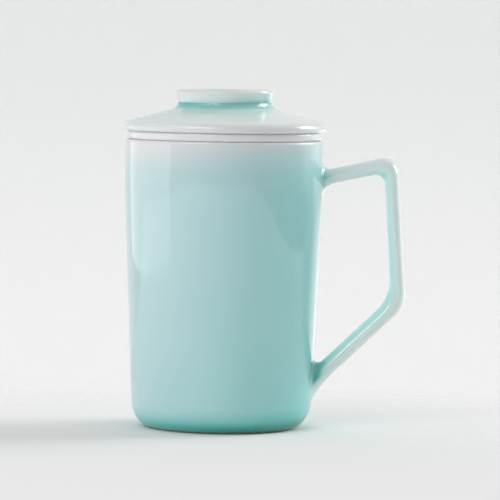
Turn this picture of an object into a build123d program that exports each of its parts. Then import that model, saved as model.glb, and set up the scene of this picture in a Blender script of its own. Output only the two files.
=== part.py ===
from build123d import *
from math import hypot
import os

# A tall porcelain tea cup with an angular handle, a drop-in infuser basket and a lift-off lid.
# Millimetres, +Z up. The origin is on the cup's axis, on the plane that the cup rests on.
# The handle points to +X.

# Cup
CUP_HEIGHT = 119.2
MOUTH_RADIUS = 41.0
BAND_HEIGHT = 20.0  # upright stretch below the lip
SHOULDER_BLEND = 8.0  # where the taper eases into the upright stretch
TAPER_INSET = 4.0  # how far the wall draws in from the mouth to the heel
HEEL_HEIGHT = 4.4
HEEL_INSET = 4.8  # from the heel's corner in to its lower edge
FOOT_RING_HEIGHT = 0.8  # below the heel's lower edge
HEEL_EDGE_SHARE = 0.4  # of the foot ring's height
FOOT_RING_SETBACK = 2.6  # from the heel's lower edge in to the foot ring
FOOT_RING_WIDTH = 3.4
FOOT_RECESS = 1.6
CUP_WALL = 3.2
CUP_FLOOR = 5.0
CUP_INNER_BLEND = 9.0
LIP_ROUND_SHARE = 0.3  # of the cup's wall

# Infuser basket
FLANGE_SETBACK = 0.7  # from the cup's mouth in to the flange's edge
FLANGE_THICKNESS = 3.6
FLANGE_ROUND_SHARE = 0.3  # of the flange's thickness
BASKET_PLAY = 1.0  # between the basket and the cup's mouth
BASKET_WALL = 2.4
BASKET_FLOOR = 2.6
BASKET_DEPTH = 78.0  # below the cup's lip
BASKET_TAPER_INSET = 3.6
BASKET_BLEND = 6.0  # outside, where the wall turns into the floor
HOLE_RADIUS = 1.2
HOLE_PITCH = 6.0  # between rings of holes in the floor, and between rows in the wall
HOLES_PER_RING = 6  # added with each ring
WALL_HOLE_ROWS = 3
WALL_HOLES = 24  # in each row

# Lid
LID_OVERHANG = 1.7  # past the flange's edge
LID_EDGE = 3.5
LID_LOWER_ROUND_SHARE = 0.35  # of the lid's edge
LID_UPPER_ROUND_SHARE = 0.55  # of the lid's edge
LID_RISE = 5.9  # of the cone, from the edge to the neck
LID_THICKNESS = 3.2
COLLAR_PLAY = 1.2  # between the collar and the inside of the basket
COLLAR_WALL = 2.4
COLLAR_DEPTH = 6.6
COLLAR_ROUND_SHARE = 0.3  # of the collar's wall

# Ring knob on the lid's neck
NECK_RADIUS = 19.3
NECK_HEIGHT = 2.1
NECK_BLEND = 2.0
KNOB_HEIGHT = 5.4
KNOB_FLARE = 0.9  # how far the ring leans out towards its top
KNOB_WALL = 3.2
KNOB_ROUND_SHARE = 0.38  # of the ring's wall

# Handle
UPPER_ROOT_DROP = 15.4  # centre of the upper root, below the lip
LOWER_ROOT_HEIGHT = 19.3
ELBOW_REACH = 28.1  # beyond the mouth's radius
ELBOW_RISE = 6.1  # above the upper root
KNEE_REACH = 31.9  # beyond the mouth's radius
KNEE_HEIGHT = 53.0
UPPER_BAR = 6.3
UPRIGHT_BAR = 6.0
LOWER_BAR = 6.8
HANDLE_WIDTH = 11.0
HANDLE_EDGE_SHARE = 0.4  # of the thinnest bar
ELBOW_OUTER_BLEND = 7.2
ELBOW_INNER_BLEND = 4.4
KNEE_OUTER_BLEND = 5.6
KNEE_INNER_BLEND = 8.0
UPPER_ROOT_TOP_FLARE = 3.4
UPPER_ROOT_LOWER_FLARE = 6.6
LOWER_ROOT_TOP_FLARE = 5.6
LOWER_ROOT_LOWER_FLARE = 6.0
ROOT_DEPTH = 1.0  # the flares start this deep inside the cup's wall, so that its curve trims them
ROOT_TAIL = 5.0  # further in, where the rounded edges run out before they are trimmed off

SAME_POINT = 1e-6

# Heights and radii that several pieces share
shoulder_height = CUP_HEIGHT - BAND_HEIGHT
heel_radius = MOUTH_RADIUS - TAPER_INSET
heel_edge_radius = heel_radius - HEEL_INSET
foot_radius = heel_edge_radius - FOOT_RING_SETBACK
cup_floor_top = FOOT_RECESS + CUP_FLOOR
mouth_inner_radius = MOUTH_RADIUS - CUP_WALL
flange_radius = MOUTH_RADIUS - FLANGE_SETBACK
basket_radius = mouth_inner_radius - BASKET_PLAY
basket_foot_radius = basket_radius - BASKET_TAPER_INSET
basket_foot = CUP_HEIGHT - BASKET_DEPTH
lid_seat = CUP_HEIGHT + FLANGE_THICKNESS
lid_radius = flange_radius + LID_OVERHANG
lid_edge_top = lid_seat + LID_EDGE
neck_foot = lid_edge_top + LID_RISE
neck_top = neck_foot + NECK_HEIGHT
neck_inner_radius = NECK_RADIUS - KNOB_WALL


def cup_radius(height):
    """The radius of the cup's tapered outside at a height."""
    return heel_radius + TAPER_INSET * (height - HEEL_HEIGHT) / (shoulder_height - HEEL_HEIGHT)


def basket_radius_at(height):
    """The radius of the basket's tapered outside at a height."""
    return basket_foot_radius + BASKET_TAPER_INSET * (height - basket_foot) / BASKET_DEPTH


def lid_top(radius):
    """The height of the lid's cone at a radius."""
    return lid_edge_top + LID_RISE * (lid_radius - radius) / (lid_radius - NECK_RADIUS)


def outline(corners):
    """A closed face outline from corners of (across, up, blend). A blend is an arc that takes that
    length from both sides of its corner."""
    points = [Vector(across, up) for across, up, blend in corners]
    edges = []
    ends = []
    starts = []
    for index, (across, up, blend) in enumerate(corners):
        corner = points[index]
        arriving = (corner - points[index - 1]).normalized()
        leaving = (points[(index + 1) % len(points)] - corner).normalized()
        starts.append(corner - arriving * blend)
        ends.append(corner + leaving * blend)
        if blend > 0:
            edges.append(TangentArc(starts[-1], ends[-1], tangent=arriving))
    for end, start in zip(ends, starts[1:] + starts[:1]):
        if (start - end).length > SAME_POINT:
            edges.append(Line(end, start))
    return Plane.XZ * make_face(edges)


def turned(corners):
    """The solid that an outline of (radius, height, blend) sweeps about the upright axis."""
    return revolve(outline(corners), Axis.Z)


def cup_outside():
    """Corners of the cup's outside, from the heel's lower edge up to the lip."""
    heel_round = FOOT_RING_HEIGHT * HEEL_EDGE_SHARE
    heel_blend = hypot(HEEL_INSET, HEEL_HEIGHT - FOOT_RING_HEIGHT) - heel_round
    return [
        (heel_edge_radius, FOOT_RING_HEIGHT, heel_round),
        (heel_radius, HEEL_HEIGHT, heel_blend),
        (MOUTH_RADIUS, shoulder_height, SHOULDER_BLEND),
        (MOUTH_RADIUS, CUP_HEIGHT, CUP_WALL * LIP_ROUND_SHARE),
    ]


def cup_body():
    """The cup's wall, floor and foot ring."""
    foot_inner_radius = foot_radius - FOOT_RING_WIDTH
    floor_radius = cup_radius(cup_floor_top) - CUP_WALL
    return turned(
        [
            (0, FOOT_RECESS, 0),
            (foot_inner_radius, FOOT_RECESS, 0),
            (foot_inner_radius, 0, 0),
            (foot_radius, 0, 0),
            (foot_radius, FOOT_RING_HEIGHT, 0),
        ]
        + cup_outside()
        + [
            (mouth_inner_radius, CUP_HEIGHT, CUP_WALL * LIP_ROUND_SHARE),
            (mouth_inner_radius, shoulder_height, SHOULDER_BLEND),
            (floor_radius, cup_floor_top, CUP_INNER_BLEND),
            (0, cup_floor_top, 0),
        ]
    )


def beside(start, end, distance):
    """The line from start to end, moved to its left, as a point and a direction."""
    direction = (end - start).normalized()
    return start + direction.rotate(Axis.Z, 90) * distance, direction


def crossing(line, other):
    """Where two lines meet in the side view."""
    point, direction = line
    other_point, other_direction = other
    reach = (other_point - point).cross(other_direction).Z / direction.cross(other_direction).Z
    return point + direction * reach


def corner_at(line, other, blend):
    """An outline corner where two lines meet."""
    place = crossing(line, other)
    return place.X, place.Y, blend


def flare(wall, edge, rise):
    """Corners that come out of the wall and sweep along it into a bar's edge. A rise below zero
    starts under the edge."""
    meeting = crossing(wall, edge)
    start = meeting + wall[1] * rise
    inside = start + wall[1].rotate(Axis.Z, 90) * ROOT_TAIL
    return [(inside.X, inside.Y, 0), (start.X, start.Y, 0), (meeting.X, meeting.Y, abs(rise))]


def handle():
    """Three flat bars in one piece, with rounded edges, trimmed by the cup's outside at both roots."""
    upper_root_height = CUP_HEIGHT - UPPER_ROOT_DROP
    upper_root = Vector(MOUTH_RADIUS, upper_root_height)
    elbow = Vector(MOUTH_RADIUS + ELBOW_REACH, upper_root_height + ELBOW_RISE)
    knee = Vector(MOUTH_RADIUS + KNEE_REACH, KNEE_HEIGHT)
    lower_root = Vector(cup_radius(LOWER_ROOT_HEIGHT), LOWER_ROOT_HEIGHT)
    shoulder = Vector(MOUTH_RADIUS, shoulder_height)
    lip = Vector(MOUTH_RADIUS, CUP_HEIGHT)
    heel = Vector(heel_radius, HEEL_HEIGHT)

    band = beside(shoulder, lip, ROOT_DEPTH)
    taper = beside(heel, shoulder, ROOT_DEPTH)
    upper_outer = beside(upper_root, elbow, UPPER_BAR / 2)
    upper_inner = beside(upper_root, elbow, -UPPER_BAR / 2)
    upright_outer = beside(elbow, knee, UPRIGHT_BAR / 2)
    upright_inner = beside(elbow, knee, -UPRIGHT_BAR / 2)
    lower_outer = beside(knee, lower_root, LOWER_BAR / 2)
    lower_inner = beside(knee, lower_root, -LOWER_BAR / 2)

    outer_side = (
        flare(band, upper_outer, UPPER_ROOT_TOP_FLARE)
        + [
            corner_at(upper_outer, upright_outer, ELBOW_OUTER_BLEND),
            corner_at(upright_outer, lower_outer, KNEE_OUTER_BLEND),
        ]
        + flare(taper, lower_outer, -LOWER_ROOT_LOWER_FLARE)[::-1]
    )
    inner_side = (
        flare(taper, lower_inner, LOWER_ROOT_TOP_FLARE)
        + [
            corner_at(lower_inner, upright_inner, KNEE_INNER_BLEND),
            corner_at(upright_inner, upper_inner, ELBOW_INNER_BLEND),
        ]
        + flare(band, upper_inner, -UPPER_ROOT_LOWER_FLARE)[::-1]
    )
    plate = extrude(outline(outer_side + inner_side), HANDLE_WIDTH / 2, both=True)
    across = plate.edges().group_by(Axis.Y)
    rims = [edge for edge in across[0] + across[-1] if stands_out(edge)]
    rounded = fillet(rims, min(UPPER_BAR, UPRIGHT_BAR, LOWER_BAR) * HANDLE_EDGE_SHARE)
    return rounded - turned([(0, 0, 0)] + cup_outside() + [(0, CUP_HEIGHT, 0)])


def stands_out(edge):
    """Whether an edge of the handle's plate lies beyond the part that is buried in the cup's wall."""
    middle = edge @ 0.5
    return middle.X > min(cup_radius(middle.Z), MOUTH_RADIUS) - ROOT_DEPTH


def infuser():
    """The basket with the flange that hangs it on the cup's lip, and its drain holes."""
    flange_round = FLANGE_THICKNESS * FLANGE_ROUND_SHARE
    inner_foot_radius = basket_radius_at(basket_foot + BASKET_FLOOR) - BASKET_WALL
    inner_blend = BASKET_BLEND - BASKET_WALL
    shell = turned(
        [
            (0, basket_foot, 0),
            (basket_foot_radius, basket_foot, BASKET_BLEND),
            (basket_radius, CUP_HEIGHT, 0),
            (flange_radius, CUP_HEIGHT, flange_round),
            (flange_radius, lid_seat, flange_round),
            (basket_radius - BASKET_WALL, lid_seat, BASKET_WALL * FLANGE_ROUND_SHARE),
            (inner_foot_radius, basket_foot + BASKET_FLOOR, inner_blend),
            (0, basket_foot + BASKET_FLOOR, 0),
        ]
    )
    return shell - floor_holes() - wall_holes()


def floor_holes():
    """A middle hole and rings of holes about it, as far out as the flat floor reaches."""
    drill = Pos(0, 0, basket_foot) * Cylinder(HOLE_RADIUS, 2 * BASKET_FLOOR + 2 * HOLE_RADIUS)
    rings = int((basket_foot_radius - BASKET_BLEND - HOLE_RADIUS) / HOLE_PITCH)
    drills = [drill]
    for ring in range(1, rings + 1):
        places = PolarLocations(ring * HOLE_PITCH, ring * HOLES_PER_RING)
        drills += [place * drill for place in places]
    return drills


def wall_holes():
    """Staggered rows of holes through the lower part of the basket's wall."""
    drills = []
    for row in range(WALL_HOLE_ROWS):
        height = basket_foot + BASKET_BLEND + (row + 1) * HOLE_PITCH
        drill = Pos(0, 0, height) * Rot(0, 90, 0) * Cylinder(HOLE_RADIUS, 2 * BASKET_WALL)
        first = 180 / WALL_HOLES * (row % 2)
        middle_of_wall = basket_radius_at(height) - BASKET_WALL / 2
        drills += [place * drill for place in PolarLocations(middle_of_wall, WALL_HOLES, first)]
    return drills


def lid():
    """The cone-topped lid, with a collar that drops into the basket and a neck for the ring knob."""
    collar_radius = basket_radius - BASKET_WALL - COLLAR_PLAY
    collar_inner_radius = collar_radius - COLLAR_WALL
    collar_foot = lid_seat - COLLAR_DEPTH
    collar_round = COLLAR_WALL * COLLAR_ROUND_SHARE
    return turned(
        [
            (0, neck_foot - LID_THICKNESS, 0),
            (neck_inner_radius, neck_foot - LID_THICKNESS, 0),
            (collar_inner_radius, lid_top(collar_inner_radius) - LID_THICKNESS, collar_round),
            (collar_inner_radius, collar_foot, collar_round),
            (collar_radius, collar_foot, collar_round),
            (collar_radius, lid_seat, 0),
            (lid_radius, lid_seat, LID_EDGE * LID_LOWER_ROUND_SHARE),
            (lid_radius, lid_edge_top, LID_EDGE * LID_UPPER_ROUND_SHARE),
            (NECK_RADIUS, neck_foot, NECK_BLEND),
            (NECK_RADIUS, neck_top, 0),
            (neck_inner_radius, neck_top, 0),
            (neck_inner_radius, neck_foot, 0),
            (0, neck_foot, 0),
        ]
    )


def lid_knob():
    """The ring that lifts the lid, and that the lid stands on when it is turned over."""
    knob_top = neck_top + KNOB_HEIGHT
    knob_round = KNOB_WALL * KNOB_ROUND_SHARE
    return turned(
        [
            (neck_inner_radius, neck_top, 0),
            (NECK_RADIUS, neck_top, 0),
            (NECK_RADIUS + KNOB_FLARE, knob_top, knob_round),
            (neck_inner_radius + KNOB_FLARE, knob_top, knob_round),
        ]
    )


os.makedirs("parts", exist_ok=True)
for make in (cup_body, handle, infuser, lid, lid_knob):
    export_step(make(), f"parts/{make.__name__}.step")
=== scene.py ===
# %% [markdown]
# # A covered tea cup with an infuser
#
# The object is all porcelain: a tall cup, a handle luted to its wall, a perforated basket that hangs on
# the lip, a lid, and a ring knob on top of the lid. Most of it was turned or cast as a body of
# revolution, so one Geometry Nodes lathe makes four of the five pieces. The handle is lofted from rings.
#
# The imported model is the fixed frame. Every piece below is made in metres, where the frame says, and
# stands for one of the frame's nodes.

import math

import bpy
import numpy as np
from mathutils import Matrix, Vector


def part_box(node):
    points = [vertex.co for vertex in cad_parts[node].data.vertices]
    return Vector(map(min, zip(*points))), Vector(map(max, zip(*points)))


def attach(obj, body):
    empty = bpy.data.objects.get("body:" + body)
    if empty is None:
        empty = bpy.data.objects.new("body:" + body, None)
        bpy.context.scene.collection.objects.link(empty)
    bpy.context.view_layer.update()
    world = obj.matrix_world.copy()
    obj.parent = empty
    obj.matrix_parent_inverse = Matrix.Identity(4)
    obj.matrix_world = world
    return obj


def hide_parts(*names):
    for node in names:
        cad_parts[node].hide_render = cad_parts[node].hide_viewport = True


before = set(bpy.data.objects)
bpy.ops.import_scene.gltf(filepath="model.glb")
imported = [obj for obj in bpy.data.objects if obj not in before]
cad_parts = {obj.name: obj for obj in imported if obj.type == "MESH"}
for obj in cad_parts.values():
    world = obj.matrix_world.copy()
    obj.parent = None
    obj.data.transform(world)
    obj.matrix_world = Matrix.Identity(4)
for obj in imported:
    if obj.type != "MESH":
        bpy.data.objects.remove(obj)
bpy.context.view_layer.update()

MM = 0.001


def add_object(name, data):
    """A new object in the scene."""
    made = bpy.data.objects.new(name, data)
    bpy.context.scene.collection.objects.link(made)
    return made


print("nodes in the frame:", sorted(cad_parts))

# %% [markdown]
# ## The camera
#
# A long lens stands a step and a half away, a little above the lid, and looks slightly down. The turn and
# the roll are small: they put the cup's axis where the photograph has it, and lean it as the photograph does.

# %% Camera
CAMERA_PLACE = Vector((0, -1.5605, 0.1687))
CAMERA_TURN = math.radians(0.410)  # towards the handle
CAMERA_DIP = math.radians(3.4915)  # below the horizon
CAMERA_ROLL = math.radians(0.794)
SENSOR_WIDTH = 36  # mm
LENS = 271.7  # mm

camera_data = bpy.data.cameras.new("camera")
camera_data.sensor_width = SENSOR_WIDTH
camera_data.lens = LENS
camera = add_object("camera", camera_data)
camera.matrix_world = (
    Matrix.Translation(CAMERA_PLACE)
    @ Matrix.Rotation(-CAMERA_TURN, 4, "Z")
    @ Matrix.Rotation(math.pi / 2 - CAMERA_DIP, 4, "X")
    @ Matrix.Rotation(CAMERA_ROLL, 4, "Z")
)
bpy.context.scene.camera = camera
bpy.context.scene.view_settings.view_transform = "Standard"
print("camera at", tuple(CAMERA_PLACE), "with a lens of", LENS, "mm")

# %% [markdown]
# ## Nodes
#
# Materials, the world, lamps and Geometry Nodes are all trees of nodes. They can be drawn in an editor or
# written as here. A few helpers keep the writing short: most take either a socket, which they link, or a
# plain value, which they set.

# %% Node helpers
def feed(tree, socket, value):
    """Links an input to another node's socket, or sets it to a plain value."""
    if isinstance(value, bpy.types.NodeSocket):
        tree.links.new(value, socket)
    else:
        socket.default_value = value


def node(tree, kind, inputs=None, **settings):
    """A new node, with its properties set and its inputs fed, each by its name or number."""
    made = tree.nodes.new(kind)
    for name, value in settings.items():
        setattr(made, name, value)
    for label, value in (inputs or {}).items():
        feed(tree, made.inputs[label], value)
    return made


def math_node(tree, operation, first, second):
    """A sum, product or other operation of two sockets or numbers."""
    return node(tree, "ShaderNodeMath", {0: first, 1: second}, operation=operation).outputs["Value"]


def mix_node(tree, kind, share, first, second):
    """Something between two numbers, for the kind FLOAT, or between two colours, for RGBA."""
    inputs = {"Factor": share, "A": first, "B": second}
    return node(tree, "ShaderNodeMix", inputs, data_type=kind).outputs["Result"]


def spread(tree, value, low, high):
    """A value from 0 to 1, spread between low and high."""
    inputs = {"Value": value, "To Min": low, "To Max": high}
    return node(tree, "ShaderNodeMapRange", inputs).outputs["Result"]


def rise(tree, value, start, end):
    """A share that goes smoothly from 0 to 1 as a value goes from start to end."""
    inputs = {"Value": value, "From Min": start, "From Max": end}
    return node(tree, "ShaderNodeMapRange", inputs, interpolation_type="SMOOTHSTEP").outputs["Result"]


# %% [markdown]
# ## Glaze
#
# Celadon is a glassy glaze with a little iron in it. Where it lies thin, on a lip or an edge, the white
# body shows through; where it runs thick, in a corner or at the foot, it turns mint and then teal.
#
# One flat colour can't show that. A painted image could, but it has to be unwrapped and drawn. Here each mesh
# carries a number per point, its glaze thickness, and a colour ramp turns thickness into colour. On some
# pieces that number also carries painted shade, painted light and painted reflection, added further on.
# A slow cloud of noise makes the thickness uneven, a low wave in the normal makes reflections wander as
# they do on a hand-dipped surface, and a second number marks the bare biscuit of the foot ring. Porcelain
# also glows a little, because some light enters it and comes out near by.

# %% Noise and bumps
# Scale per metre, and detail
CLOUD = (38, 3)
WAVE = (30, 0)
PEEL = (420, 1)
GRAIN = (2600, 4)
WAVE_DEPTH = 0.35 * MM
PEEL_DEPTH = 0.004 * MM


def noise(tree, scale, detail):
    """A noise texture on the object's own coordinates."""
    place = node(tree, "ShaderNodeTexCoord").outputs["Object"]
    inputs = {"Vector": place, "Scale": scale, "Detail": detail}
    return node(tree, "ShaderNodeTexNoise", inputs).outputs["Fac"]


def bump(tree, height, depth, before=None):
    """A bump of that depth in metres, on top of an earlier one."""
    earlier = {"Normal": before} if before else {}
    return node(tree, "ShaderNodeBump", {"Height": height, "Distance": depth, **earlier}).outputs["Normal"]


def point_number(tree, name):
    """A number that the mesh stores on its points."""
    return node(tree, "ShaderNodeAttribute", attribute_name=name).outputs["Fac"]


widths = [round(1 / scale / MM, 1) for scale, detail in (CLOUD, WAVE, PEEL, GRAIN)]
print("cloud, wave, peel and grain in mm:", widths)

# %% Glaze material
GLAZE_IOR = 1.5
GLOW_SHARE = 0.35  # of the light that isn't mirrored
GLOW_DEPTH = 2.5 * MM
GLOSS_SPREAD = 0.2  # how far the roughness strays either way, as a share
BISCUIT_DARK = (0.66, 0.62, 0.56, 1)
BISCUIT_LIGHT = (0.80, 0.77, 0.72, 1)
BISCUIT_ROUGHNESS = 0.8


def glaze(name, colours, mottle, gloss):
    """A glaze whose colours are (thickness, red, green, blue) from thin to thick."""
    material = bpy.data.materials.new(name)
    material.use_nodes = True
    tree = material.node_tree
    bare = point_number(tree, "bare")
    cloud = noise(tree, *CLOUD)

    uneven = math_node(tree, "ADD", point_number(tree, "glaze"), spread(tree, cloud, -mottle, mottle))
    ramp = node(tree, "ShaderNodeValToRGB", {"Fac": uneven})
    stops = ramp.color_ramp.elements
    while len(stops) < len(colours):
        stops.new(1)
    for stop, (thickness, *colour) in zip(stops, colours):
        stop.position = thickness
        stop.color = (*colour, 1)

    biscuit = mix_node(tree, "RGBA", noise(tree, *GRAIN), BISCUIT_DARK, BISCUIT_LIGHT)
    shine = spread(tree, cloud, gloss * (1 - GLOSS_SPREAD), gloss * (1 + GLOSS_SPREAD))
    wave = bump(tree, noise(tree, *WAVE), WAVE_DEPTH)
    settings = {
        "Base Color": mix_node(tree, "RGBA", bare, ramp.outputs["Color"], biscuit),
        "Roughness": mix_node(tree, "FLOAT", bare, shine, BISCUIT_ROUGHNESS),
        "Normal": bump(tree, noise(tree, *PEEL), PEEL_DEPTH, wave),
        "IOR": GLAZE_IOR,
        "Subsurface Weight": GLOW_SHARE,
        "Subsurface Radius": (1, 1, 1),
        "Subsurface Scale": GLOW_DEPTH,
    }
    for label, value in settings.items():
        feed(tree, tree.nodes["Principled BSDF"].inputs[label], value)
    return material


# %% [markdown]
# The cup has the full celadon. The handle and the lid have it thinner and so paler, each in a mix of its
# own. The basket has a clear glaze on the white body, with a trace of grey where it gathers.

# %% Four glazes
WHITE_BODY = (0.80, 0.805, 0.825)
MINT = (0.455, 0.73, 0.745)
SEA_GREEN = (0.22, 0.64, 0.61)
TEAL = (0.05, 0.38, 0.33)
THICK = [(0.7, *SEA_GREEN), (1.0, *TEAL)]  # what the three celadons share
GLOSS = 0.035

celadon_glaze = glaze(
    "celadon_glaze",
    [(0.0, *WHITE_BODY), (0.45, *MINT), *THICK],
    mottle=0.035,
    gloss=GLOSS,
)
pale_celadon_glaze = glaze(
    "pale_celadon_glaze",
    [(0.0, 0.78, 0.80, 0.80), (0.2, 0.80, 0.88, 0.87), (0.45, 0.66, 0.86, 0.84), *THICK],
    mottle=0.03,
    gloss=GLOSS,
)
handle_glaze = glaze(
    "handle_glaze",
    [(0.0, 0.80, 0.86, 0.87), (0.3, 0.66, 0.88, 0.85), (0.45, 0.52, 0.84, 0.80), *THICK],
    mottle=0.03,
    gloss=GLOSS,
)
white_glaze = glaze(
    "white_glaze",
    [(0.0, 0.86, 0.87, 0.89), (0.5, 0.79, 0.82, 0.84), (1.0, 0.66, 0.74, 0.76)],
    mottle=0.06,
    gloss=0.05,
)
print("glazes:", celadon_glaze.name, pale_celadon_glaze.name, handle_glaze.name, white_glaze.name)

# %% [markdown]
# ## Turning
#
# A thrown or jiggered piece is an outline turned about an axis. Blender's Screw modifier or the Spin
# operator would do; a Geometry Nodes lathe keeps the segments as an input and carries the glaze thickness
# along. The outline itself is a short list of corners, each with a blend: an arc that takes that length
# from both sides of its corner. Clay and glaze leave no sharp edge, so nearly every corner has one.
#
# Each point of an outline also has a station: 4 is the middle of corner 4, 4.5 is halfway to corner 5.
# Glaze thickness is then written against stations.

# %% Outlines
ARC_STEP = math.radians(7)
RUN_STEP = 3 * MM
CORNER_REACH = 0.25  # stations that a rounded corner takes on each side of its number


def unit(vector):
    return vector / np.linalg.norm(vector)


def arc(corner, arriving, leaving, blend):
    """Points of the arc that rounds a corner, as a list with the first and last on its two sides."""
    turn = math.acos(np.clip(arriving @ leaving, -1, 1))
    radius = blend / math.tan(turn / 2)
    inward = unit(leaving - arriving * (arriving @ leaving))
    angles = np.linspace(0, turn, max(4, math.ceil(turn / ARC_STEP)) + 1)
    start = corner - arriving * blend
    return [start + radius * (arriving * math.sin(a) + inward * (1 - math.cos(a))) for a in angles]


def outline(corners):
    """Rows of (radius, height, station) along a chain of corners of (radius, height, blend)."""
    places = [np.array(corner[:2]) for corner in corners]
    rows = []
    for index, place in enumerate(places):
        blend = corners[index][2]
        bend = [place]
        stations = [index]
        if blend > 0:
            arriving = unit(place - places[index - 1])
            leaving = unit(places[index + 1] - place)
            bend = arc(place, arriving, leaving, blend)
            stations = np.linspace(index - CORNER_REACH, index + CORNER_REACH, len(bend))
        if rows:
            start = np.array(rows[-1])
            end = np.array([*bend[0], stations[0]])
            steps = max(1, math.ceil(np.linalg.norm(end[:2] - start[:2]) / RUN_STEP))
            rows += [start + (end - start) * step / steps for step in range(1, steps)]
        rows += [np.array([*point, station]) for point, station in zip(bend, stations)]
    return np.array(rows)


right_angle = arc(np.zeros(2), np.array([1, 0]), np.array([0, 1]), MM)
print("points on a rounded right angle:", len(right_angle))

# %% [markdown]
# The lathe tree makes a grid with one row for each point of the outline and one column for each segment.
# It looks up each row's point, turns it by the column's angle, and merges the seam and the poles.

# %% Lathe tree
MERGE_DISTANCE = 0.002 * MM


def new_tree(name, inputs):
    """A geometry tree with a geometry input, the named inputs, and a geometry output."""
    tree = bpy.data.node_groups.new(name, "GeometryNodeTree")
    tree.interface.new_socket("Geometry", in_out="INPUT", socket_type="NodeSocketGeometry")
    for label, kind in inputs.items():
        tree.interface.new_socket(label, in_out="INPUT", socket_type=kind)
    tree.interface.new_socket("Geometry", in_out="OUTPUT", socket_type="NodeSocketGeometry")
    return tree, node(tree, "NodeGroupInput"), node(tree, "NodeGroupOutput")


def end_tree(tree, mesh, entry, leave):
    """Realize Instances and Set Material, which end each tree."""
    realize = node(tree, "GeometryNodeRealizeInstances", {"Geometry": mesh})
    inputs = {"Geometry": realize.outputs["Geometry"], "Material": entry.outputs["Material"]}
    paint = node(tree, "GeometryNodeSetMaterial", inputs)
    tree.links.new(paint.outputs["Geometry"], leave.inputs["Geometry"])


def row_value(tree, points, row, kind, value):
    """What the outline has at the point of a row."""
    inputs = {"Geometry": points, "Value": value, "Index": row}
    return node(tree, "GeometryNodeSampleIndex", inputs, data_type=kind).outputs["Value"]


def lathe_tree():
    """Turns the points of an outline about the upright axis."""
    tree, entry, leave = new_tree("lathe", {"Segments": "NodeSocketInt", "Material": "NodeSocketMaterial"})
    points = entry.outputs["Geometry"]
    rows = node(tree, "GeometryNodeAttributeDomainSize", {"Geometry": points}).outputs["Point Count"]
    columns = math_node(tree, "ADD", entry.outputs["Segments"], 1)
    inputs = {"Size X": 1, "Size Y": 1, "Vertices X": columns, "Vertices Y": rows}
    mesh = node(tree, "GeometryNodeMeshGrid", inputs).outputs["Mesh"]

    position = node(tree, "GeometryNodeInputPosition").outputs["Position"]
    axes = node(tree, "ShaderNodeSeparateXYZ", {"Vector": position})
    # The unit grid runs from -0.5 to 0.5
    along = math_node(tree, "ADD", axes.outputs["Y"], 0.5)
    number = math_node(tree, "MULTIPLY", along, math_node(tree, "SUBTRACT", rows, 1))
    row = node(tree, "FunctionNodeFloatToInt", {"Float": number}, rounding_mode="ROUND").outputs["Integer"]
    angle = math_node(tree, "MULTIPLY", math_node(tree, "ADD", axes.outputs["X"], 0.5), math.tau)

    for name in ("glaze", "bare"):
        stored = node(tree, "GeometryNodeInputNamedAttribute", {"Name": name}, data_type="FLOAT")
        value = row_value(tree, points, row, "FLOAT", stored.outputs["Attribute"])
        inputs = {"Geometry": mesh, "Name": name, "Value": value}
        store = node(tree, "GeometryNodeStoreNamedAttribute", inputs, data_type="FLOAT")
        mesh = store.outputs["Geometry"]

    inputs = {"Vector": row_value(tree, points, row, "FLOAT_VECTOR", position), "Angle": angle}
    turn = node(tree, "ShaderNodeVectorRotate", inputs, rotation_type="Z_AXIS")
    move = node(tree, "GeometryNodeSetPosition", {"Geometry": mesh, "Position": turn.outputs["Vector"]})
    inputs = {"Geometry": move.outputs["Geometry"], "Distance": MERGE_DISTANCE}
    merge = node(tree, "GeometryNodeMergeByDistance", inputs)
    smooth = node(tree, "GeometryNodeSetShadeSmooth", {"Geometry": merge.outputs["Geometry"]})
    end_tree(tree, smooth.outputs["Geometry"], entry, leave)
    return tree


lathe = lathe_tree()
print("lathe tree:", len(lathe.nodes), "nodes")


# %% Turn a piece
def add_tree(piece, tree, values):
    """A Geometry Nodes modifier, with its named inputs set by their identifiers."""
    modifier = piece.modifiers.new(tree.name, "NODES")
    modifier.node_group = tree
    for socket in tree.interface.items_tree:
        if socket.in_out == "INPUT" and socket.name in values:
            modifier[socket.identifier] = values[socket.name]


def settle(piece):
    """Turns a piece's modifiers into a plain mesh."""
    seen = piece.evaluated_get(bpy.context.evaluated_depsgraph_get())
    mesh = bpy.data.meshes.new_from_object(seen)
    piece.modifiers.clear()
    piece.data = mesh
    mesh.name = piece.name
    mesh.calc_loop_triangles()
    print(piece.name, "has", len(mesh.loop_triangles), "triangles")


def outline_piece(name, rows, thickness, bare=((0, 0), (0, 0))):
    """An object that holds an outline's points, with the glaze and the bare clay along it."""
    mesh = bpy.data.meshes.new(name)
    mesh.from_pydata([(radius, 0, height) for radius, height, station in rows], [], [])
    for label, pairs in (("glaze", thickness), ("bare", bare)):
        stations, values = zip(*pairs)
        numbers = mesh.attributes.new(label, "FLOAT", "POINT")
        numbers.data.foreach_set("value", np.interp(rows[:, 2], stations, values))
    return add_object(name, mesh)


identifiers = {socket.name: socket.identifier for socket in lathe.interface.items_tree}
print("identifiers of the lathe's sockets:", identifiers)

# %% [markdown]
# ## The cup
#
# The wall stands upright below the lip, tapers to the heel and rolls in to a narrow foot ring. The glaze
# runs down as it melts: it has left the lip nearly white, and it gathers in a teal line at the heel. The
# foot ring is wiped bare, so that the cup doesn't weld itself to the kiln shelf.

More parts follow.
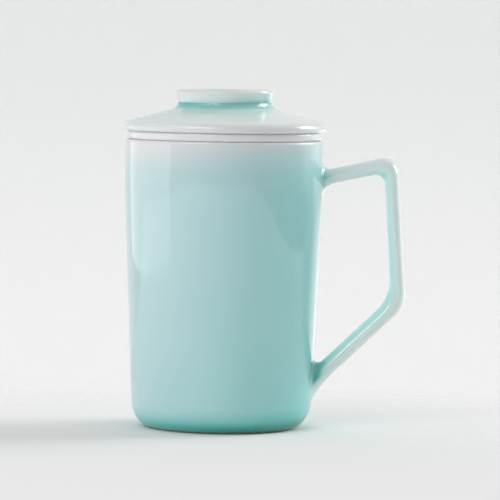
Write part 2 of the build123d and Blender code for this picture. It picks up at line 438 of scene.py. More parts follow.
# %% Cup
cup_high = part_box("cup_body")[1]
mouth_radius = cup_high.x
cup_height = cup_high.z
BAND_HEIGHT = 20 * MM  # the upright part below the lip
SHOULDER_BLEND = 8 * MM
TAPER_INSET = 4 * MM
HEEL_HEIGHT = 4.4 * MM
HEEL_INSET = 4.8 * MM
HEEL_EDGE = 0.3 * MM  # rounding of the heel's lower edge
FOOT_RING_HEIGHT = 0.8 * MM  # below the heel's lower edge
FOOT_RING_SETBACK = 2.6 * MM
FOOT_RING_WIDTH = 3.4 * MM
FOOT_RECESS = 1.6 * MM
FOOT_ROUND = 0.3 * MM
CUP_WALL = 3.2 * MM
CUP_FLOOR = 5 * MM
CUP_INNER_BLEND = 9 * MM
LIP_ROUND = 0.96 * MM
CUP_SEGMENTS = 192

shoulder = cup_height - BAND_HEIGHT
heel_radius = mouth_radius - TAPER_INSET
heel_edge_radius = heel_radius - HEEL_INSET
heel_slope = math.hypot(HEEL_INSET, HEEL_HEIGHT - FOOT_RING_HEIGHT)
foot_radius = heel_edge_radius - FOOT_RING_SETBACK
foot_inner_radius = foot_radius - FOOT_RING_WIDTH
mouth_inner_radius = mouth_radius - CUP_WALL
floor_top = FOOT_RECESS + CUP_FLOOR
taper = TAPER_INSET / (shoulder - HEEL_HEIGHT)
floor_radius = heel_radius + taper * (floor_top - HEEL_HEIGHT) - CUP_WALL

cup_outside = outline(
    [
        (0, FOOT_RECESS, 0),
        (foot_inner_radius, FOOT_RECESS, FOOT_ROUND),
        (foot_inner_radius, 0, FOOT_ROUND),
        (foot_radius, 0, FOOT_ROUND),
        (foot_radius, FOOT_RING_HEIGHT, FOOT_ROUND),
        (heel_edge_radius, FOOT_RING_HEIGHT, HEEL_EDGE),
        (heel_radius, HEEL_HEIGHT, heel_slope - HEEL_EDGE),
        (mouth_radius, shoulder, SHOULDER_BLEND),
        (mouth_radius, cup_height, LIP_ROUND),
        (mouth_inner_radius, cup_height, LIP_ROUND),
        (mouth_inner_radius, shoulder, SHOULDER_BLEND),
        (floor_radius, floor_top, CUP_INNER_BLEND),
        (0, floor_top, 0),
    ]
)
CUP_GLAZE = [
    (1, 0.5),
    (5, 1.0),
    (5.85, 0.93),
    (6.05, 0.62),
    (6.25, 0.49),
    (6.45, 0.45),
    (6.75, 0.42),
    (7.0, 0.41),
    (7.25, 0.36),
    (7.5, 0.22),
    (7.7, 0.1),
    (7.9, 0.0),
    (9.2, 0.0),
    (10, 0.3),
    (10.7, 0.42),
    (11, 0.6),
    (12, 0.5),
]
CUP_BARE = [(1.9, 0), (2.05, 1), (4.1, 1), (4.4, 0)]
cup = outline_piece("tea_cup", cup_outside, CUP_GLAZE, CUP_BARE)
add_tree(cup, lathe, {"Segments": CUP_SEGMENTS, "Material": celadon_glaze})
settle(cup)

# %% [markdown]
# The glaze colour doesn't lie evenly about the axis either, and here that is painted shade and painted light:
# the glaze number is made thicker, and the colour darker, on the handle's side, which lies in shade, and
# thinner, with more white in it, on the other side, where the light falls. The lid and its ring get such
# painted side light and shade in their own ways further on, so this is a function.

# %% Painted side shading
# Painted shade: the handle's side of the cup is made darker and the other side whiter, for how the light
# falls.
CUP_SIDE_SHADE = 0.15  # thickness that the handle's side has over the middle


def paint_side_shading(piece, radius, side_shade):
    """Paints shade and light into the glaze number by side: a positive amount makes the handle's side thicker
    and darker and the other side as much thinner and whiter; a negative amount does the reverse.
    """
    numbers = piece.data.attributes["glaze"].data
    thickness = np.array([number.value for number in numbers])
    towards_handle = np.array([vertex.co.x for vertex in piece.data.vertices]) / radius
    thickness += side_shade * towards_handle
    numbers.foreach_set("value", thickness)
    print(piece.name, "has glaze from", round(thickness.min(), 2), "to", round(thickness.max(), 2))


paint_side_shading(cup, mouth_radius, CUP_SIDE_SHADE)

# %% [markdown]
# ## The handle
#
# The handle is three straight bars of a soft oval section with an elbow and a knee between them. It was
# cast by itself and luted to the wall with slip, so each root flares out over the wall, and glaze pools in
# the flare. A curve with a bevel would give the bars but not the flares; here rings of points are laid
# from wall to wall, and at each root every point of the ring runs down its own small curve onto the cup.

# %% Handle edges in the side view
UPPER_ROOT_DROP = 15.4 * MM  # centre of the upper root, below the lip
LOWER_ROOT_HEIGHT = 19.3 * MM
ELBOW_REACH = 28.1 * MM  # beyond the mouth's radius
ELBOW_RISE = 6.1 * MM  # above the upper root
KNEE_REACH = 31.9 * MM
KNEE_HEIGHT = 53 * MM
UPPER_BAR = 6.3 * MM
UPRIGHT_BAR = 6 * MM
LOWER_BAR = 6.8 * MM
ELBOW_BLENDS = (7.2 * MM, 4.4 * MM)  # outer and inner edge
KNEE_BLENDS = (5.6 * MM, 8 * MM)


def beside(start, end, distance):
    """The line from start to end, moved to its left, as a point and a direction."""
    direction = unit(end - start)
    return start + np.array([-direction[1], direction[0]]) * distance, direction


def crossing(line, other):
    """Where two lines meet."""
    reach = np.linalg.solve(np.stack([line[1], -other[1]], axis=1), other[0] - line[0])[0]
    return line[0] + line[1] * reach


upper_root = np.array([mouth_radius, cup_height - UPPER_ROOT_DROP])
elbow = upper_root + np.array([ELBOW_REACH, ELBOW_RISE])
knee = np.array([mouth_radius + KNEE_REACH, KNEE_HEIGHT])
lower_root = np.array([heel_radius + taper * (LOWER_ROOT_HEIGHT - HEEL_HEIGHT), LOWER_ROOT_HEIGHT])

bend_edges = {"elbow": [], "knee": []}
for side, elbow_blend, knee_blend in zip((1, -1), ELBOW_BLENDS, KNEE_BLENDS):
    upper = beside(upper_root, elbow, side * UPPER_BAR / 2)
    upright = beside(elbow, knee, side * UPRIGHT_BAR / 2)
    lower = beside(knee, lower_root, side * LOWER_BAR / 2)
    bend_edges["elbow"].append(arc(crossing(upper, upright), upper[1], upright[1], elbow_blend))
    bend_edges["knee"].append(arc(crossing(upright, lower), upright[1], lower[1], knee_blend))
print("handle bends:", {name: len(edges[0]) for name, edges in bend_edges.items()})

# %% Handle sections
HANDLE_SIDES = 56
SECTION_POWER = 2.1  # 2 is an ellipse, and more is squarer
section_angles = np.linspace(0, math.tau, HANDLE_SIDES, endpoint=False)
across = np.sign(np.cos(section_angles)) * np.abs(np.cos(section_angles)) ** (2 / SECTION_POWER)
sideways = np.sign(np.sin(section_angles)) * np.abs(np.sin(section_angles)) ** (2 / SECTION_POWER)
half_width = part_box("handle")[1].y


def section(outer, inner):
    """A ring of points about the bar between a point of its outer edge and one of its inner edge."""
    middle = (outer + inner) / 2
    half = (outer - inner) / 2
    side_view = middle + across[:, None] * half
    return np.stack([side_view[:, 0], sideways * half_width, side_view[:, 1]], axis=1)


def run(first, last, count):
    """Rings between two rings, without the two."""
    return [first + (last - first) * step / count for step in range(1, count)]


print("handle section of", HANDLE_SIDES, "sides,", round(2 * half_width / MM, 1), "mm wide")

# %% [markdown]
# Slip and glaze fill the corner between a bar and the wall, so a root is a flare. Each point of the bar's
# last ring is sent on to the wall, halving the way until it is met. From there it runs out over the wall,
# and a small curve rounds the corner between the two. A fillet by a modifier would be even all round;
# these flares reach further above and below the bar than beside it.

# %% Handle roots
FLARE_STEPS = 14
FARTHEST_WALL = 100 * MM  # along the bar, past any point of the wall
HALVINGS = 40
WALL_STATIONS = (5.5, 8)  # of the cup's outline, from the heel to the lip
NORMAL_STEP = 0.1 * MM
ROOT_SINK = 0.4 * MM  # how deep the last ring lies in the cup's wall
wall_rows = cup_outside[(cup_outside[:, 2] > WALL_STATIONS[0]) & (cup_outside[:, 2] < WALL_STATIONS[1])]


def wall_radius(height):
    return np.interp(height, wall_rows[:, 1], wall_rows[:, 0])


def on_wall(points, sink=0.0):
    """Points moved level onto the cup's wall, or that deep inside it."""
    level = np.hypot(points[:, 0], points[:, 1])
    scale = (wall_radius(points[:, 2]) - sink) / level
    return points * np.stack([scale, scale, np.ones_like(scale)], axis=1)


def wall_normals(points):
    """The cup's outward normals at points on its wall."""
    above = wall_radius(points[:, 2] + NORMAL_STEP)
    below = wall_radius(points[:, 2] - NORMAL_STEP)
    slope = (above - below) / (2 * NORMAL_STEP)
    level = np.hypot(points[:, 0], points[:, 1])
    normals = np.stack([points[:, 0] / level, points[:, 1] / level, -slope], axis=1)
    return normals / np.linalg.norm(normals, axis=1, keepdims=True)


def flare_lengths(outer, inner, side):
    """How far a flare reaches at each point of a ring, from its lengths at the edges and the sides."""
    edge = np.where(across > 0, outer, inner)
    return (side + (edge - side) * across**2)[:, None]


def root_rings(bar_end, inwards, flares):
    """Rings from the bar's end section down onto the wall. The last ring lies inside the wall."""
    along = np.array([inwards[0], 0, inwards[1]])
    low = np.zeros(HANDLE_SIDES)
    high = np.full(HANDLE_SIDES, FARTHEST_WALL)
    for halving in range(HALVINGS):
        reach = (low + high) / 2
        points = bar_end + along * reach[:, None]
        outside = np.hypot(points[:, 0], points[:, 1]) > wall_radius(points[:, 2])
        low = np.where(outside, reach, low)
        high = np.where(outside, high, reach)
    hit = bar_end + along * low[:, None]
    normals = wall_normals(hit)
    spread_out = bar_end - bar_end.mean(axis=0)
    spread_out -= normals * np.sum(spread_out * normals, axis=1, keepdims=True)
    spread_out /= np.linalg.norm(spread_out, axis=1, keepdims=True)
    foot = on_wall(hit + spread_out * flare_lengths(*flares["wall"]))
    normals = wall_normals(foot)
    gap = np.sum((foot - hit) * normals, axis=1, keepdims=True)
    corner = hit + along * gap / (normals @ along)[:, None]
    start = corner - along * flare_lengths(*flares["bar"])
    pull = np.sqrt((1 + spread_out @ along) / 2)[:, None]
    rings = []
    for t in np.linspace(0, 1, FLARE_STEPS):
        shares = ((1 - t) ** 2, 2 * t * (1 - t) * pull, t**2)
        rings.append((start * shares[0] + corner * shares[1] + foot * shares[2]) / sum(shares))
    return rings + [on_wall(foot + spread_out * ROOT_SINK / 2, ROOT_SINK)]


# Lengths at the outer edge, the inner edge and the sides
UPPER_FLARES = {"bar": (3.4 * MM, 4.6 * MM, 3 * MM), "wall": (3.4 * MM, 5.6 * MM, 1.6 * MM)}
LOWER_FLARES = {"bar": (14 * MM, 5.4 * MM, 3.2 * MM), "wall": (5 * MM, 4.8 * MM, 1.6 * MM)}
elbow_rings = [section(*pair) for pair in zip(*bend_edges["elbow"])]
knee_rings = [section(*pair) for pair in zip(*bend_edges["knee"])]
upper_flare = root_rings(elbow_rings[0], unit(upper_root - elbow), UPPER_FLARES)
lower_flare = root_rings(knee_rings[-1], unit(lower_root - knee), LOWER_FLARES)
print("flare rings at each root:", len(upper_flare))

# %% [markdown]
# The rings become one closed mesh. The glaze is thickest at the roots and in the elbow's inner corner,
# thinner along the inner edge of the lower bar, and thin on the outer edges and the sides. The mint along the
# inner edges is partly glaze gathered there and partly a painted reflection of the mint cup beside them; the
# white of the outer edges is partly thin glaze and partly a painted reflection of the pale surroundings.
# Those three are written against stations as on an outline: 0 is the upper root, 1 and 2 the elbow, 3 and 4
# the knee, and 5 the lower root.

# %% Handle mesh
BAR_RINGS = 14
UPRIGHT_RINGS = 22
FLARE_STATIONS = 0.35  # that a root's flare takes
# Station, then the glaze on the outer edge, the inner edge and the sides, the two edges with painted
# reflection in it
HANDLE_GLAZE_AND_REFLECTION = np.array(
    [
        (-0.35, 0.2, 0.1, 0.1),
        (-0.2, 0.4, 0.4, 0.6),
        (0, 0.2, 0.25, 0.45),
        (0.2, 0.1, 0.1, 0.1),
        (1, 0.1, 0.15, 0.08),
        (1.5, 0.08, 0.5, 0.1),
        (2, 0.1, 0.22, 0.14),
        (2.8, 0.1, 0.22, 0.14),
        (3.5, 0.1, 0.36, 0.14),
        (4, 0.1, 0.36, 0.14),
        (4.85, 0.1, 0.36, 0.16),
        (5, 0.15, 0.7, 0.9),
        (5.1, 0.25, 0.72, 0.9),
        (5.25, 0.4, 0.5, 0.4),
        (5.35, 0.4, 0.3, 0.12),
    ]
)
EDGE_REACH = 1.8  # how soon the glaze of the edges sets in, across the side

handle_rings = upper_flare[::-1]
stations = list(np.linspace(-FLARE_STATIONS, 0, len(upper_flare)))
for rings, count, first in ((elbow_rings, BAR_RINGS, 0), (knee_rings, UPRIGHT_RINGS, 2)):
    between = run(handle_rings[-1], rings[0], count)
    stations += list(np.linspace(first, first + 1, count + 1)[1:-1])
    stations += list(np.linspace(first + 1, first + 2, len(rings)))
    handle_rings += between + rings
between = run(handle_rings[-1], lower_flare[0], BAR_RINGS)
stations += list(np.linspace(4, 5, BAR_RINGS + 1)[1:-1])
stations += list(np.linspace(5, 5 + FLARE_STATIONS, len(lower_flare)))
handle_rings += between + lower_flare

outer_glaze_and_reflection, inner_glaze_and_reflection, side_glaze = (
    np.interp(stations, HANDLE_GLAZE_AND_REFLECTION[:, 0], thickness)[:, None] for thickness in HANDLE_GLAZE_AND_REFLECTION[:, 1:].T
)
edge_glaze_and_reflection = np.where(np.cos(section_angles) > 0, outer_glaze_and_reflection, inner_glaze_and_reflection)
toward_edge = np.clip(np.abs(across) * EDGE_REACH, 0, 1)
loop_glaze_and_reflection = side_glaze + (edge_glaze_and_reflection - side_glaze) * toward_edge


def tube(name, rings, material):
    """A closed mesh through rings of points, with a face at each end."""
    sides = len(rings[0])
    faces = [tuple(range(sides))]
    for ring in range(len(rings) - 1):
        first = ring * sides
        for side in range(sides):
            after = (side + 1) % sides
            faces.append((first + side, first + sides + side, first + sides + after, first + after))
    faces.append(tuple(range(len(rings) * sides - 1, (len(rings) - 1) * sides - 1, -1)))
    mesh = bpy.data.meshes.new(name)
    mesh.from_pydata(np.concatenate(rings).tolist(), [], faces)
    mesh.polygons.foreach_set("use_smooth", [True] * len(faces))
    mesh.materials.append(material)
    return add_object(name, mesh)


handle = tube("handle_loop", handle_rings, handle_glaze)
handle.data.attributes.new("glaze", "FLOAT", "POINT").data.foreach_set("value", loop_glaze_and_reflection.ravel())
print("handle_loop has", len(handle.data.polygons), "faces")

# %% [markdown]
# ## The infuser
#
# Only its flange shows, as the white ring between cup and lid. The basket below it drains through rings of
# small holes in the floor and staggered rows in the lower wall. Holes that repeat are Geometry Nodes work:
# a cutter stands on each point of a set of circles, and one Boolean takes them all away. The cutter is
# waisted like an hourglass, because glaze rounds the rim of every hole.

# %% Infuser shell
basket_low, basket_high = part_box("infuser")
flange_radius = basket_high.x
lid_seat = basket_high.z
basket_foot = basket_low.z
BASKET_PLAY = 1 * MM
BASKET_WALL = 2.4 * MM
BASKET_FLOOR = 2.6 * MM
BASKET_TAPER_INSET = 3.6 * MM
BASKET_BLEND = 6 * MM
FLANGE_ROUND = 1.08 * MM
UNDER_FLANGE_BLEND = 0.6 * MM
INNER_LIP_ROUND = 0.72 * MM
INFUSER_SEGMENTS = 144
INFUSER_GLAZE = [
    (0, 0.5),
    (1, 0.6),
    (1.5, 0.3),
    (2, 0.6),
    (2.4, 0.1),
    (5.2, 0.1),
    (5.5, 0.4),
    (6, 0.8),
    (7, 0.5),
]

basket_radius = mouth_inner_radius - BASKET_PLAY
basket_foot_radius = basket_radius - BASKET_TAPER_INSET
basket_taper = BASKET_TAPER_INSET / (cup_height - basket_foot)
basket_floor_top = basket_foot + BASKET_FLOOR
basket_floor_radius = basket_foot_radius + basket_taper * BASKET_FLOOR - BASKET_WALL
infuser = outline_piece(
    "infuser_basket",
    outline(
        [
            (0, basket_foot, 0),
            (basket_foot_radius, basket_foot, BASKET_BLEND),
            (basket_radius, cup_height, UNDER_FLANGE_BLEND),
            (flange_radius, cup_height, FLANGE_ROUND),
            (flange_radius, lid_seat, FLANGE_ROUND),
            (basket_radius - BASKET_WALL, lid_seat, INNER_LIP_ROUND),
            (basket_floor_radius, basket_floor_top, BASKET_BLEND - BASKET_WALL),
            (0, basket_floor_top, 0),
        ]
    ),
    INFUSER_GLAZE,
)
add_tree(infuser, lathe, {"Segments": INFUSER_SEGMENTS, "Material": white_glaze})
print("infuser shell from", round(basket_foot / MM, 1), "to", round(lid_seat / MM, 1), "mm above the table")


# %% Cutter for a drain hole
HOLE_RADIUS = 1.2 * MM
CUTTER_SIDES = 14
CUTTER_STEPS = 9
CUTTER_HALF = 2.1 * MM
RIM_FLARE = 0.75  # how much wider the cutter is at its ends, as a share of the hole
RIM_CURVE = 1.6  # how late it widens


def upward(tree, height):
    """A vector that points up by a height."""
    return node(tree, "ShaderNodeCombineXYZ", {"Z": height}).outputs["Vector"]


def hole_cutter(tree, entry):
    """An hourglass along Z, as wide as the hole at its waist."""
    half = entry.outputs["Cutter Half"]
    inputs = {"Start": upward(tree, math_node(tree, "MULTIPLY", half, -1)), "End": upward(tree, half)}
    line = node(tree, "GeometryNodeCurvePrimitiveLine", inputs)
    steps = node(tree, "GeometryNodeResampleCurve", {"Curve": line.outputs["Curve"], "Count": CUTTER_STEPS})
    factor = node(tree, "GeometryNodeSplineParameter").outputs["Factor"]
    centred = math_node(tree, "SUBTRACT", math_node(tree, "MULTIPLY", factor, 2), 1)
    widen = math_node(tree, "POWER", math_node(tree, "MULTIPLY", centred, centred), RIM_CURVE)
    inputs = {"Resolution": CUTTER_SIDES, "Radius": entry.outputs["Hole Radius"]}
    circle = node(tree, "GeometryNodeCurvePrimitiveCircle", inputs)
    inputs = {
        "Curve": steps.outputs["Curve"],
        "Profile Curve": circle.outputs["Curve"],
        "Scale": math_node(tree, "ADD", math_node(tree, "MULTIPLY", widen, entry.outputs["Rim Flare"]), 1),
        "Fill Caps": True,
    }
    return node(tree, "GeometryNodeCurveToMesh", inputs).outputs["Mesh"]


# %% Places of the drain holes
HOLE_PITCH = 6 * MM
HOLES_PER_RING = 6
FLOOR_RINGS = 4
WALL_ROWS = 3
WALL_HOLES = 24


def ring_of_points(tree, count, radius, height, first_angle):
    """Points on a level circle."""
    circle = node(tree, "GeometryNodeMeshCircle", {"Vertices": count, "Radius": radius})
    inputs = {
        "Geometry": circle.outputs["Mesh"],
        "Translation": upward(tree, height),
        "Rotation": (0, 0, first_angle),
    }
    return node(tree, "GeometryNodeTransform", inputs).outputs["Geometry"]


def floor_points(tree, entry):
    """One point in the middle of the floor, and rings about it."""
    level = entry.outputs["Floor Level"]
    middle = node(tree, "GeometryNodePoints", {"Position": upward(tree, level)})
    vertex = node(tree, "GeometryNodePointsToVertices", {"Points": middle.outputs["Points"]})
    rings = [vertex.outputs["Mesh"]]
    for ring in range(1, FLOOR_RINGS + 1):
        radius = math_node(tree, "MULTIPLY", entry.outputs["Pitch"], ring)
        rings.append(ring_of_points(tree, ring * HOLES_PER_RING, radius, level, 0))
    return rings


def wall_points(tree, entry):
    """Staggered rows up the wall, which follow its taper."""
    rings = []
    for row in range(WALL_ROWS):
        lift = math_node(tree, "MULTIPLY", entry.outputs["Pitch"], row)
        height = math_node(tree, "ADD", entry.outputs["Row Level"], lift)
        widening = math_node(tree, "MULTIPLY", entry.outputs["Taper"], lift)
        radius = math_node(tree, "ADD", entry.outputs["Row Radius"], widening)
        rings.append(ring_of_points(tree, WALL_HOLES, radius, height, math.pi / WALL_HOLES * (row % 2)))
    return rings


floor_holes = 1 + sum(ring * HOLES_PER_RING for ring in range(1, FLOOR_RINGS + 1))
print("drain holes:", floor_holes, "in the floor and", WALL_ROWS * WALL_HOLES, "in the wall")

# %% Drain holes
CRISP_ANGLE = math.radians(38)  # past which an edge is not smoothed over


def drilled(tree, rings, cutter, outwards):
    """Cutters on rings of points, upright or pointing outwards."""
    points = node(tree, "GeometryNodeJoinGeometry")
    for ring in rings:
        tree.links.new(ring, points.inputs["Geometry"])
    inputs = {"Points": points.outputs["Geometry"], "Instance": cutter}
    if outwards:
        position = node(tree, "GeometryNodeInputPosition").outputs["Position"]
        level = node(tree, "ShaderNodeVectorMath", {0: position, 1: (1, 1, 0)}, operation="MULTIPLY")
        aim = node(tree, "FunctionNodeAlignRotationToVector", {"Vector": level.outputs["Vector"]}, axis="Z")
        inputs["Rotation"] = aim.outputs["Rotation"]
    stand = node(tree, "GeometryNodeInstanceOnPoints", inputs)
    realize = node(tree, "GeometryNodeRealizeInstances", {"Geometry": stand.outputs["Instances"]})
    return realize.outputs["Geometry"]


def drain_tree(sizes):
    """Cuts the drain holes, with an input for each size, and keeps their rims crisp in the shading."""
    sockets = dict.fromkeys(sizes, "NodeSocketFloat")
    tree, entry, leave = new_tree("drain_holes", {**sockets, "Material": "NodeSocketMaterial"})
    cutter = hole_cutter(tree, entry)
    inputs = {"Mesh 1": entry.outputs["Geometry"]}
    cut = node(tree, "GeometryNodeMeshBoolean", inputs, operation="DIFFERENCE", solver="MANIFOLD")
    for rings, outwards in ((floor_points(tree, entry), False), (wall_points(tree, entry), True)):
        tree.links.new(drilled(tree, rings, cutter, outwards), cut.inputs["Mesh 2"])
    bend = node(tree, "GeometryNodeInputMeshEdgeAngle").outputs["Unsigned Angle"]
    inputs = {
        "Geometry": cut.outputs["Mesh"],
        "Selection": math_node(tree, "GREATER_THAN", bend, CRISP_ANGLE),
        "Shade Smooth": False,
    }
    crisp = node(tree, "GeometryNodeSetShadeSmooth", inputs, domain="EDGE")
    end_tree(tree, crisp.outputs["Geometry"], entry, leave)
    return tree


row_level = basket_foot + BASKET_BLEND + HOLE_PITCH
drain_sizes = {
    "Hole Radius": HOLE_RADIUS,
    "Cutter Half": CUTTER_HALF,
    "Rim Flare": RIM_FLARE,
    "Pitch": HOLE_PITCH,
    "Floor Level": basket_foot + BASKET_FLOOR / 2,
    "Row Level": row_level,
    "Row Radius": basket_foot_radius + basket_taper * (row_level - basket_foot) - BASKET_WALL / 2,
    "Taper": basket_taper,
}
add_tree(infuser, drain_tree(drain_sizes), {**drain_sizes, "Material": white_glaze})
settle(infuser)

# %% [markdown]
# ## The lid
#
# A low cone with a full round edge. Below it a collar drops into the basket's mouth, and on top a short neck
# carries the ring. Glaze has run down the cone and off the edge, and it stands thick round the neck; that
# darker band round the neck is also painted shade under the ring.

# %% Lid
lid_low, lid_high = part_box("lid")
lid_radius = lid_high.x
collar_foot = lid_low.z
neck_top = lid_high.z
LID_EDGE = 3.5 * MM
LID_RISE = 5.9 * MM
LID_THICKNESS = 3.2 * MM
LID_LOWER_ROUND = 1.225 * MM
LID_UPPER_ROUND = 1.925 * MM
COLLAR_PLAY = 1.2 * MM
COLLAR_WALL = 2.4 * MM
COLLAR_ROUND = 0.72 * MM
UNDER_LID_BLEND = 0.5 * MM
NECK_RADIUS = 19.3 * MM
NECK_BLEND = 2.8 * MM
NECK_INNER_BLEND = 1 * MM
JOINT_ROUND = 0.04 * MM  # a hairline where two pieces are luted and glazed over
KNOB_WALL = 3.2 * MM
LID_SEGMENTS = 176
# Painted light: the lid is made paler on the handle's side, where the light falls, and darker on the other.
LID_SIDE_LIGHT = -0.12  # thicker on the side away from the handle

lid_edge_top = lid_seat + LID_EDGE
neck_foot = lid_edge_top + LID_RISE
neck_inner_radius = NECK_RADIUS - KNOB_WALL
collar_radius = basket_radius - BASKET_WALL - COLLAR_PLAY
collar_inner_radius = collar_radius - COLLAR_WALL
lid_slope = LID_RISE / (lid_radius - NECK_RADIUS)
under_cone = lid_edge_top + lid_slope * (lid_radius - collar_inner_radius) - LID_THICKNESS
# From station 7.75 to 9, round the neck, the thickness is partly glaze that gathered there and partly painted
# shade under the ring.
LID_GLAZE_AND_SHADE = [
    (0, 0.3),
    (4, 0.1),
    (6, 0.0),
    (7, 0.08),
    (7.25, 0.18),
    (7.5, 0.22),
    (7.75, 0.42),
    (8, 0.64),
    (9, 0.64),
    (11, 0.6),
    (12, 0.35),
]
lid = outline_piece(
    "lid_cover",
    outline(
        [
            (0, neck_foot - LID_THICKNESS, 0),
            (neck_inner_radius, neck_foot - LID_THICKNESS, COLLAR_ROUND),
            (collar_inner_radius, under_cone, COLLAR_ROUND),
            (collar_inner_radius, collar_foot, COLLAR_ROUND),
            (collar_radius, collar_foot, COLLAR_ROUND),
            (collar_radius, lid_seat, UNDER_LID_BLEND),
            (lid_radius, lid_seat, LID_LOWER_ROUND),
            (lid_radius, lid_edge_top, LID_UPPER_ROUND),
            (NECK_RADIUS, neck_foot, NECK_BLEND),
            (NECK_RADIUS, neck_top, JOINT_ROUND),
            (neck_inner_radius, neck_top, JOINT_ROUND),
            (neck_inner_radius, neck_foot, NECK_INNER_BLEND),
            (0, neck_foot, 0),
        ]
    ),
    LID_GLAZE_AND_SHADE,
)
add_tree(lid, lathe, {"Segments": LID_SEGMENTS, "Material": pale_celadon_glaze})
settle(lid)
paint_side_shading(lid, lid_radius, LID_SIDE_LIGHT)

# %% [markdown]
# ## The ring knob
#
# The ring flares a little towards its flat top, so that fingers can hook under it. It is also the foot that
# the lid stands on when it is turned over to take the dripping basket. Its top edge is nearly white.

# %% Ring knob
knob_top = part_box("lid_knob")[1].z
KNOB_FLARE = 0.9 * MM
KNOB_ROUND = 1.216 * MM
# Painted shade: the ring is made darker on the handle's side, where it lies in shade.
KNOB_SIDE_SHADE = 0.22  # thicker on the handle's side
KNOB_GLAZE = [
    (0, 0.6),
    (1.2, 0.6),
    (1.3, 0.45),
    (1.5, 0.3),
    (1.75, 0.15),
    (2, 0.05),
    (3, 0),
    (3.5, 0.25),
    (4, 0.6),
]

ring_bottom_middle = ((neck_inner_radius + NECK_RADIUS) / 2, neck_top, 0)
knob = outline_piece(
    "ring_knob",
    outline(
        [
            ring_bottom_middle,
            (NECK_RADIUS, neck_top, JOINT_ROUND),
            (NECK_RADIUS + KNOB_FLARE, knob_top, KNOB_ROUND),
            (neck_inner_radius + KNOB_FLARE, knob_top, KNOB_ROUND),
            (neck_inner_radius, neck_top, JOINT_ROUND),
            ring_bottom_middle,
        ]
    ),
    KNOB_GLAZE,
)
add_tree(knob, lathe, {"Segments": LID_SEGMENTS, "Material": pale_celadon_glaze})
settle(knob)
paint_side_shading(knob, NECK_RADIUS, KNOB_SIDE_SHADE)

# %% [markdown]
# ## Joining the frame
#
# Each piece takes the place of its node and rides on that node's body: the handle with the cup, the ring
# with the lid. So the lid lifts off the basket, and the basket lifts out of the cup.

# %% Ride
for piece, body, cad_node, slot in (
    (cup, "cup", "cup_body", "celadon_glaze"),
    (handle, "cup", "handle", "celadon_glaze"),
    (infuser, "infuser", "infuser", "white_glaze"),
    (lid, "lid", "lid", "pale_celadon_glaze"),
    (knob, "lid", "lid_knob", "pale_celadon_glaze"),
):
    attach(piece, body)
    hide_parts(cad_node)
    print(piece.name, "rides on", body)

# %% [markdown]
# ## Table
#
# A white table top catches the shadow and throws light back up. A curved paper sweep would hide the
# horizon; here the paint turns clear for the camera, away from the cup, and the pale world takes over. The
# glaze still mirrors the table's edges: below them the wall of the cup shows white table, and above them
# the dim room on the camera's side.

# %% Table
TABLE_LEFT = -1.0
TABLE_RIGHT = 0.67
TABLE_FRONT = -1.2
TABLE_BACK = 0.24

table_mesh = bpy.data.meshes.new("table")
table_corners = [
    (TABLE_LEFT, TABLE_FRONT, 0),
    (TABLE_RIGHT, TABLE_FRONT, 0),
    (TABLE_RIGHT, TABLE_BACK, 0),
    (TABLE_LEFT, TABLE_BACK, 0),
]
table_mesh.from_pydata(table_corners, [], [(0, 1, 2, 3)])
table = add_object("table", table_mesh)

table_paint = bpy.data.materials.new("table_paint")
table_paint.use_nodes = True
table_mesh.materials.append(table_paint)
print("table top", TABLE_RIGHT - TABLE_LEFT, "m by", TABLE_BACK - TABLE_FRONT, "m")

# %% Table paint
TABLE_WHITE = (0.89, 0.89, 0.885, 1)
FADE_CENTRE = (0, -0.16, 0)
FADE_START = 0.13  # from the fade's centre
FADE_END = 0.36

paint_tree = table_paint.node_tree
paint_tree.nodes.clear()
white = node(paint_tree, "ShaderNodeBsdfDiffuse", {"Color": TABLE_WHITE}).outputs["BSDF"]
clear = node(paint_tree, "ShaderNodeBsdfTransparent").outputs["BSDF"]
place = node(paint_tree, "ShaderNodeTexCoord").outputs["Object"]
distance = node(paint_tree, "ShaderNodeVectorMath", {0: place, 1: FADE_CENTRE}, operation="DISTANCE")
faded = rise(paint_tree, distance.outputs["Value"], FADE_START, FADE_END)
by_camera = node(paint_tree, "ShaderNodeLightPath").outputs["Is Camera Ray"]
share = math_node(paint_tree, "MULTIPLY", faded, by_camera)
fade = node(paint_tree, "ShaderNodeMixShader", {"Fac": share, 1: white, 2: clear})
node(paint_tree, "ShaderNodeOutputMaterial", {"Surface": fade.outputs["Shader"]})
print("table paint:", len(paint_tree.nodes), "nodes")

# %% [markdown]
# ## Surroundings
#
# The camera sees a plain pale backdrop, a little darker higher up. What the glaze mirrors is another
# matter: a white room would wash the mint out. So rays that leave the cup meet a dim room on the camera's
# side and the backdrop behind, with a bright floor low on the right, for the pale band down that edge of
# the wall. One world colour can't do both, and Light Path picks between the two.
#
# The backdrop has a fine grain for the camera. It hardly shows, but without it the noise filter leaves
# speckle on the handle's lower bar.

# %% World
BACKDROP_LOW = (0.875, 0.88, 0.875, 1)
BACKDROP_HIGH = (0.79, 0.80, 0.80, 1)
ROOM_FRONT = (0.06, 0.06, 0.06, 1)
ROOM_LEFT = (0.15, 0.15, 0.15, 1)
ROOM_RIGHT = (0.06, 0.06, 0.06, 1)
ROOM_CEILING = (0.54, 0.54, 0.54, 1)
BRIGHT_FLOOR = (1.5, 1.5, 1.5, 1)
# Between these, a direction's part along one axis turns the first colour into the second
BACKDROP_LIMITS = (-0.09, 0.005)
SIDE_LIMITS = (-0.5, 0.5)
FRONT_LIMITS = (-0.8, -0.2)
CEILING_LIMITS = (0.25, 0.75)
FLOOR_SIDE_LIMITS = (0, 0.3)
FLOOR_TOP_LIMITS = (-0.09, -0.03)
BEHIND_LIMITS = (0.45, 0.85)

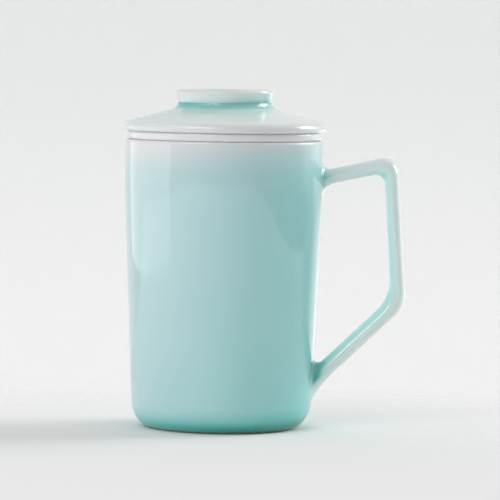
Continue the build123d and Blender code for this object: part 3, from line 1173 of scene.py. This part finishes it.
world = bpy.data.worlds.new("studio")
bpy.context.scene.world = world
world.use_nodes = True
world_tree = world.node_tree
direction = node(world_tree, "ShaderNodeTexCoord").outputs["Generated"]
axes = node(world_tree, "ShaderNodeSeparateXYZ", {"Vector": direction})


def world_blend(axis, limits, first, second):
    """A colour that goes from first to second as a direction's part along an axis passes the limits."""
    return mix_node(world_tree, "RGBA", rise(world_tree, axes.outputs[axis], *limits), first, second)


backdrop = world_blend("Z", BACKDROP_LIMITS, BACKDROP_LOW, BACKDROP_HIGH)
sides = world_blend("X", SIDE_LIMITS, ROOM_LEFT, ROOM_RIGHT)
walls = world_blend("Y", FRONT_LIMITS, ROOM_FRONT, sides)
room = world_blend("Z", CEILING_LIMITS, walls, ROOM_CEILING)
low_right = world_blend("X", FLOOR_SIDE_LIMITS, backdrop, BRIGHT_FLOOR)
behind = world_blend("Z", FLOOR_TOP_LIMITS, low_right, backdrop)
studio = world_blend("Y", BEHIND_LIMITS, room, behind)
print("world:", len(world_tree.nodes), "nodes for the studio")

# %% Backdrop for the camera
PAPER_GRAIN = 0.45  # how far a speck strays from the backdrop's brightness, as a share

speck = node(world_tree, "ShaderNodeTexWhiteNoise", {"Vector": direction})
shade = spread(world_tree, speck.outputs["Value"], 1 - PAPER_GRAIN, 1 + PAPER_GRAIN)
paper = node(world_tree, "ShaderNodeVectorMath", {0: backdrop, "Scale": shade}, operation="SCALE")
by_camera = node(world_tree, "ShaderNodeLightPath").outputs["Is Camera Ray"]
surroundings = mix_node(world_tree, "RGBA", by_camera, studio, paper.outputs["Vector"])
world_tree.links.new(surroundings, world_tree.nodes["Background"].inputs["Color"])
print("world:", len(world_tree.nodes), "nodes in all")

# %% [markdown]
# ## Lamps
#
# Five soft lamps, because glaze shows the shape of whatever lights it. The key box stands high behind the
# handle: it throws the shadow towards the camera's left and lights every edge that faces it. A panel close
# to the cup's plain side lies along the glaze as one long pale reflection. A fill box lights the left, and
# a front box draws the thin bright line along the handle's lower bar. The wide panel on the right is dimmed
# towards its edges, so that its reflection on the wall has no hard end.

# %% Lamps
AIM = Vector((0, 0, 0.08))
LAMP_MIDDLE = 0.5  # of its width or its height


def fade_edges(lamp, shares):
    """Dims a lamp towards its edges, over those shares of its width and of its height."""
    lamp.use_nodes = True
    tree = lamp.node_tree
    surface = node(tree, "ShaderNodeNewGeometry").outputs["Parametric"]
    place = node(tree, "ShaderNodeSeparateXYZ", {"Vector": surface})
    inside = [
        rise(tree, math_node(tree, "PINGPONG", place.outputs[axis], LAMP_MIDDLE), 0, share)
        for axis, share in zip("XY", shares)
    ]
    feed(tree, tree.nodes["Emission"].inputs["Strength"], math_node(tree, "MULTIPLY", *inside))


def soft_box(name, place, aim, width, height, brightness, edges=None):
    """A lamp at a place, turned to a point. Its brightness is what a mirror would show of its middle."""
    lamp = bpy.data.lights.new(name, "AREA")
    lamp.shape = "RECTANGLE"
    lamp.size = width
    lamp.size_y = height
    lamp.energy = brightness * math.pi * width * height
    if edges:
        fade_edges(lamp, edges)
    box = add_object(name, lamp)
    box.location = place
    box.rotation_euler = (Vector(place) - Vector(aim)).to_track_quat("Z", "Y").to_euler()
    box.visible_camera = False
    print(name, "of", round(lamp.energy, 2), "W at", place)


soft_box("key_box", (1.57, 0.64, 0.74), AIM, width=0.95, height=0.9, brightness=7.2)
soft_box("side_panel", (-0.55, 0.16, 0.08), (0, 0.16, 0.08), width=0.88, height=0.16, brightness=1.2)
soft_box("fill_box", (-1.34, -0.77, 0.80), AIM, width=0.8, height=0.7, brightness=1.35)
soft_box("front_box", (-0.76, -1.31, 0.85), AIM, width=0.95, height=0.52, brightness=5.7)
soft_box(
    "right_panel",
    (1.05, 0.66, 0.36),
    (0, 0, 0.36),
    width=1.2,
    height=0.8,
    brightness=1,
    edges=(0.35, 0.15),
)
